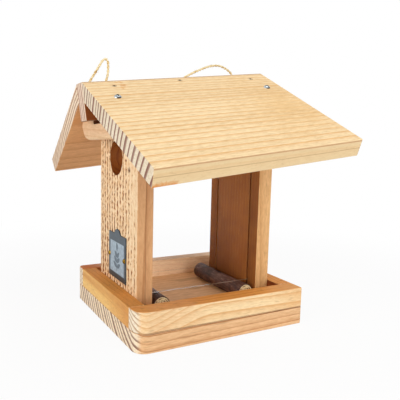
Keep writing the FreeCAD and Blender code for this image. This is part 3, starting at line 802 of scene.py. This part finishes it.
def twigBark():
    # Young hazel bark: dark purple-brown with a grey bloom, wrinkled along, with small pale pores
    material, node = startMaterial("hazelBark")
    place = node("TexCoord", output="Object")
    along = node("Mapping", {}, {
        "Vector": place, "Scale": (1 / mm, twigs["drawnOut"] / mm, 1 / mm)})
    ridge = node("TexNoise", {}, {
        "Vector": along, "Scale": 1 / twigs["ridge"], "Detail": 4.0, "Roughness": 0.6})
    bloom = node("TexNoise", {}, {
        "Vector": place, "Scale": 1 / (twigs["bloom"] * mm), "Detail": 3.0})
    colour = node("ValToRGB", {}, [node("Math", multiplyAdd, (bloom, 0.7, ridge))])
    rampStops(colour, twigs["bark"])
    pores = node("TexVoronoi", {}, {"Vector": place, "Scale": 1 / (twigs["pore"] * mm)})
    dot = node("MapRange", {}, (pores, *twigs["poreSize"]))
    spotted = node("Mix", rgba, {0: dot, 6: colour, 7: twigs["poreColour"]}, 2)
    bump = node("Bump", {}, {"Strength": 0.7, "Distance": 0.5 * mm, "Height": ridge})
    shader = node("BsdfPrincipled", {}, {
        "Base Color": spotted, "Roughness": 0.62, "Normal": bump})
    node("OutputMaterial", {}, {"Surface": shader})
    return material


def twigCut(side):
    # Sawn end of a green branch: cream, speckled with brown pores round a small pith
    material, node = startMaterial("sawnHazelEnd")
    low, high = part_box(side + "_twig")
    middle = Vector(((low.x + high.x) / 2, 0, high.z - twigs["radius"] * mm))
    place = node("TexCoord", output="Object")
    apart = node("VectorMath", subtract, (place, middle))
    disc = node("VectorMath", multiply, (apart, (1 / mm, 0, 1 / mm)))
    radius = node("VectorMath", lengthOf, [disc], "Value")
    speck = node("TexNoise", {}, {
        "Vector": disc, "Scale": 1 / twigs["speck"], "Detail": 3.0, "Roughness": 0.7})
    ringed = node("Math", pingPong, (radius, twigs["year"]))
    both = node("Math", multiplyAdd, (ringed, twigs["yearShare"], speck))
    colour = node("ValToRGB", {}, [both])
    rampStops(colour, twigs["cut"])
    pith = node("MapRange", {}, (radius, *twigs["pith"]))
    cored = node("Mix", rgba, {0: pith, 6: colour, 7: twigs["pithColour"]}, 2)
    bump = node("Bump", {}, {"Strength": 0.5, "Distance": 0.3 * mm, "Height": speck})
    shader = node("BsdfPrincipled", {}, {"Base Color": cored, "Roughness": 0.8, "Normal": bump})
    node("OutputMaterial", {}, {"Surface": shader})
    return material


def unevenness(point, rate, seed):
    across, along = rate
    return noise.noise(Vector((point.x * across, point.y * across, point.z * along + seed)))


def growTwig(side, seed, bark):
    low, high = [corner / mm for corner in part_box(side + "_twig")]
    radius = twigs["radius"]
    length = high.y - low.y
    middle = Vector(((low.x + high.x) / 2, (low.y + high.y) / 2, high.z - radius - twigs["sunk"]))
    bm = bmesh.new()
    bmesh.ops.create_cone(bm, cap_ends=True, segments=twigs["segments"], radius1=radius, radius2=radius,
                          depth=length)
    caps = [f for f in bm.faces if len(f.verts) > 4]
    bmesh.ops.inset_region(bm, faces=caps, thickness=twigs["rim"])
    for f in caps:
        f.material_index = 1
    sides = [e for e in bm.edges if abs(e.verts[0].co.z - e.verts[1].co.z) > length / 2]
    bmesh.ops.subdivide_edges(bm, edges=sides, cuts=twigs["rings"], use_grid_fill=True)
    for v in bm.verts:
        slow = unevenness(v.co, twigs["swellRate"], seed)
        fine = unevenness(v.co, twigs["wrinkleRate"], -seed)
        scale = twigs["shrink"] + twigs["swell"] * slow + twigs["wrinkle"] * fine
        bow = twigs["bow"] * math.sin(v.co.z / length * math.pi + seed)
        v.co.x = v.co.x * scale + bow
        v.co.y = v.co.y * scale
    bmesh.ops.rotate(bm, verts=bm.verts, cent=(0, 0, 0), matrix=Matrix.Rotation(math.radians(-90), 3, "X"))
    bmesh.ops.translate(bm, verts=bm.verts, vec=middle)
    for v in bm.verts:
        v.co.z = min(max(v.co.z, low.z + twigs["flat"]), high.z)
    bmesh.ops.scale(bm, verts=bm.verts, vec=(mm, mm, mm))
    bmesh.ops.recalc_face_normals(bm, faces=bm.faces)
    for f in bm.faces:
        f.smooth = f.material_index == 0
    makePiece(side + "Branch", bm, "feeder", "twig_bark", [side + "_twig"], bark, twigCut(side))


bark = twigBark()
growTwig("left", 1.7, bark)
growTwig("right", 4.2, bark)
print("twigs grown")


# Plate: a small enamelled plate with a sprig on a paler panel
plate = dict(
    panel=(-17.8, 20.0, 49.2, 81.0), band=(-21.6, 24.6, 43.6, 48.4),    # mm: low y, high y, low z, high z
    proud=0.10, edge=0.25, pressed=0.02, crestRadius=9.725, crestHalf=8.5, crestRise=5.0, crestSteps=6,
    enamels=dict(slate=("#2D3942", "#47555F"), pale=("#8A9AA7", "#A9BAC6"),
                 brown=("#140C08", "#241710"), ink=("#4A5A66", "#5C6C78")),      # even and worn
    mottle=3.0, wornFrom=(0.40, 0.72), roughness=(0.32, 0.6),      # mm
    stemFoot=51.5, stemTip=73.0, stemHalf=0.5, leafLength=10.5, leafWidth=4.8, leafPairs=3,
    firstLeaf=3.5, leafStep=5.2, lean=62, leanStep=8,         # mm, degrees
    leafShrink=0.1, tipSink=1.0, tipShare=0.85,
)


def enamel(name, colour, worn):
    # Stove enamel on sheet metal: even colour with slight mottling, satin, duller where it is worn
    material, node = startMaterial(name)
    mottle = node("TexNoise", {}, {
        "Vector": node("TexCoord", output="Object"), "Scale": 1 / (plate["mottle"] * mm),
        "Detail": 4.0})
    shade = node("ValToRGB", {}, [mottle])
    rampStops(shade, list(zip(plate["wornFrom"], (colour, worn))))
    gloss = node("MapRange", {}, (mottle, 0.0, 1.0, *plate["roughness"]))
    bump = node("Bump", {}, {"Strength": 0.12, "Distance": 0.05 * mm, "Height": mottle})
    shader = node("BsdfPrincipled", {}, {"Base Color": shade, "Roughness": gloss, "Normal": bump})
    node("OutputMaterial", {}, {"Surface": shader})
    return material


def stampPlate():
    low, high = [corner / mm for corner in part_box("name_plate")]
    middle = (low.y + high.y) / 2
    shoulder = high.z - plate["crestRise"]
    radius = plate["crestRadius"]
    steps = plate["crestSteps"]
    bm = bmesh.new()
    # Outline with its arched crest, then its thickness and a small rounded edge
    outline = [(low.y, low.z), (high.y, low.z), (high.y, shoulder)]
    spread = math.asin(plate["crestHalf"] / radius)
    for i in range(2 * steps + 1):
        angle = spread * (1 - i / steps)
        outline.append((middle + radius * math.sin(angle), high.z - radius + radius * math.cos(angle)))
    outline.append((low.y, shoulder))
    face = bm.faces.new([bm.verts.new((high.x, y, z)) for y, z in outline])
    made = bmesh.ops.extrude_face_region(bm, geom=[face])
    grown = [v for v in made["geom"] if isinstance(v, bmesh.types.BMVert)]
    bmesh.ops.translate(bm, verts=grown, vec=(low.x - high.x, 0, 0))
    bmesh.ops.recalc_face_normals(bm, faces=bm.faces)
    rim = [e for e in bm.edges if all(abs(v.co.x - low.x) < 0.01 for v in e.verts)]
    bmesh.ops.bevel(bm, geom=rim, offset=plate["edge"], segments=2, profile=0.5, affect="EDGES",
                    material=-1)
    faceX = low.x - plate["proud"] / 2 + plate["pressed"]

    def printed(y0, y1, z0, z1, index, rise):
        made = bmesh.ops.create_cube(bm, size=1.0)["verts"]
        bmesh.ops.scale(bm, verts=made, vec=(plate["proud"], y1 - y0, z1 - z0))
        bmesh.ops.translate(bm, verts=made, vec=(faceX - rise, (y0 + y1) / 2, (z0 + z1) / 2))
        for f in {f for v in made for f in v.link_faces}:
            f.material_index = index

    def leaf(y, z, lean, length):
        made = bmesh.ops.create_circle(bm, cap_ends=True, segments=14, radius=0.5)["verts"]
        for v in made:
            v.co.x *= plate["leafWidth"] * (1.0 - 0.9 * abs(v.co.y))       # pointed at both ends
            v.co.y *= length
        leafFace = list({f for v in made for f in v.link_faces})
        bulk = bmesh.ops.extrude_face_region(bm, geom=leafFace)["geom"]
        raised = [v for v in bulk if isinstance(v, bmesh.types.BMVert)]
        bmesh.ops.translate(bm, verts=raised, vec=(0, 0, plate["proud"]))
        made = made + raised
        stand = Matrix(((0, 0, -1), (1, 0, 0), (0, 1, 0)))      # the drawing's x, y go to y, z on the wall
        bmesh.ops.translate(bm, verts=made, vec=(0, length / 2, 0))
        bmesh.ops.rotate(bm, verts=made, cent=(0, 0, 0), matrix=Matrix.Rotation(lean, 3, "Z"))
        bmesh.ops.rotate(bm, verts=made, cent=(0, 0, 0), matrix=stand)
        bmesh.ops.translate(bm, verts=made, vec=(faceX - plate["proud"] / 2, y, z))
        for f in {f for v in made for f in v.link_faces}:
            f.material_index = 3

    printed(*plate["panel"], 1, 0.0)
    printed(*plate["band"], 2, 0.0)
    stem = (plate["panel"][0] + plate["panel"][1]) / 2
    half = plate["stemHalf"]
    printed(stem - half, stem + half, plate["stemFoot"], plate["stemTip"], 3, plate["proud"] * 0.8)
    for i in range(plate["leafPairs"]):
        z = plate["stemFoot"] + plate["firstLeaf"] + i * plate["leafStep"]
        lean = math.radians(plate["lean"] - plate["leanStep"] * i)
        for way in (-1, 1):
            leaf(stem, z, way * lean, plate["leafLength"] * (1 - plate["leafShrink"] * i))
    leaf(stem, plate["stemTip"] - plate["tipSink"], 0.0, plate["leafLength"] * plate["tipShare"])
    bmesh.ops.scale(bm, verts=bm.verts, vec=(mm, mm, mm))
    bmesh.ops.recalc_face_normals(bm, faces=bm.faces)
    makePiece("enamelPlate", bm, "feeder", "name_plate", ["name_plate"],
              *[enamel(shade + "Enamel", *colours) for shade, colours in plate["enamels"].items()])


stampPlate()
print("plate stamped")


# Floor, backdrop light and lamps: plain soft studio light on white
studio = dict(
    floorSize=6.0, floorDrop=0.2 * mm, floorWhite=0.90, ambient=0.32,
    shadowShare=0.08, shadowFade=(0.25, 0.60),      # the shadow shows near the object only
    lamps=[
        # name, place (m), aim (m), size (m), power (W)
        ("overheadBox", (0.25, -0.55, 1.25), (0.0, 0.0, 0.15), 1.0, 6.6),
        ("frontBox", (0.35, -1.30, 0.45), (0.0, 0.0, 0.12), 0.9, 7.0),
        ("leftBox", (-1.25, -0.30, 0.42), (0.0, 0.0, 0.12), 0.9, 9.4),
    ],
)


def showsBackdrop(node):
    # 1 for rays that show the backdrop: seen directly, in a reflection or through a pane
    path = node("LightPath").node.outputs
    first = node("Math", maximum, (path["Is Camera Ray"], path["Is Glossy Ray"]))
    return node("Math", maximum, (first, path["Is Transmission Ray"]))


def buildStudio():
    bm = bmesh.new()
    bmesh.ops.create_grid(bm, x_segments=1, y_segments=1, size=studio["floorSize"] / 2)
    bmesh.ops.translate(bm, verts=bm.verts, vec=(0, 0, -studio["floorDrop"]))
    white = hexColour("#FFFFFF")
    material, node = startMaterial("whitePaperSweep")
    paper = node("BsdfDiffuse", {}, {
        "Color": [c * studio["floorWhite"] for c in white[:3]] + [1.0]})
    bright = node("Emission", {}, {"Color": white, "Strength": 1.0})
    place = node("TexCoord", output="Object")
    away = node("VectorMath", lengthOf, [place], "Value")
    plain = node("MapRange", smoothly, (
        away, *studio["shadowFade"], 1 - studio["shadowShare"], 1.0))
    share = node("Math", multiply, (showsBackdrop(node), plain))
    sweep = node("MixShader", {}, (share, paper, bright))
    node("OutputMaterial", {}, {"Surface": sweep})
    makePiece("paperFloor", bm, None, None, [], material)

    world = bpy.data.worlds.new("whiteStudio")
    world.use_nodes = True
    scene.world = world
    world.node_tree.nodes.clear()
    node = partial(addNode, world.node_tree)
    strength = node("MapRange", {}, (showsBackdrop(node), 0.0, 1.0, studio["ambient"]))
    backdrop = node("Background", {}, {"Color": white, "Strength": strength})
    node("OutputWorld", {}, {"Surface": backdrop})

    for name, place, aim, size, power in studio["lamps"]:
        lamp = bpy.data.lights.new(name, "AREA")
        lamp.shape = "SQUARE"
        lamp.size = size
        lamp.energy = power
        holder = bpy.data.objects.new(name, lamp)
        holder.location = place
        holder.rotation_euler = (Vector(aim) - Vector(place)).to_track_quat("-Z", "Y").to_euler()
        scene.collection.objects.link(holder)
    print("studio lit")


buildStudio()
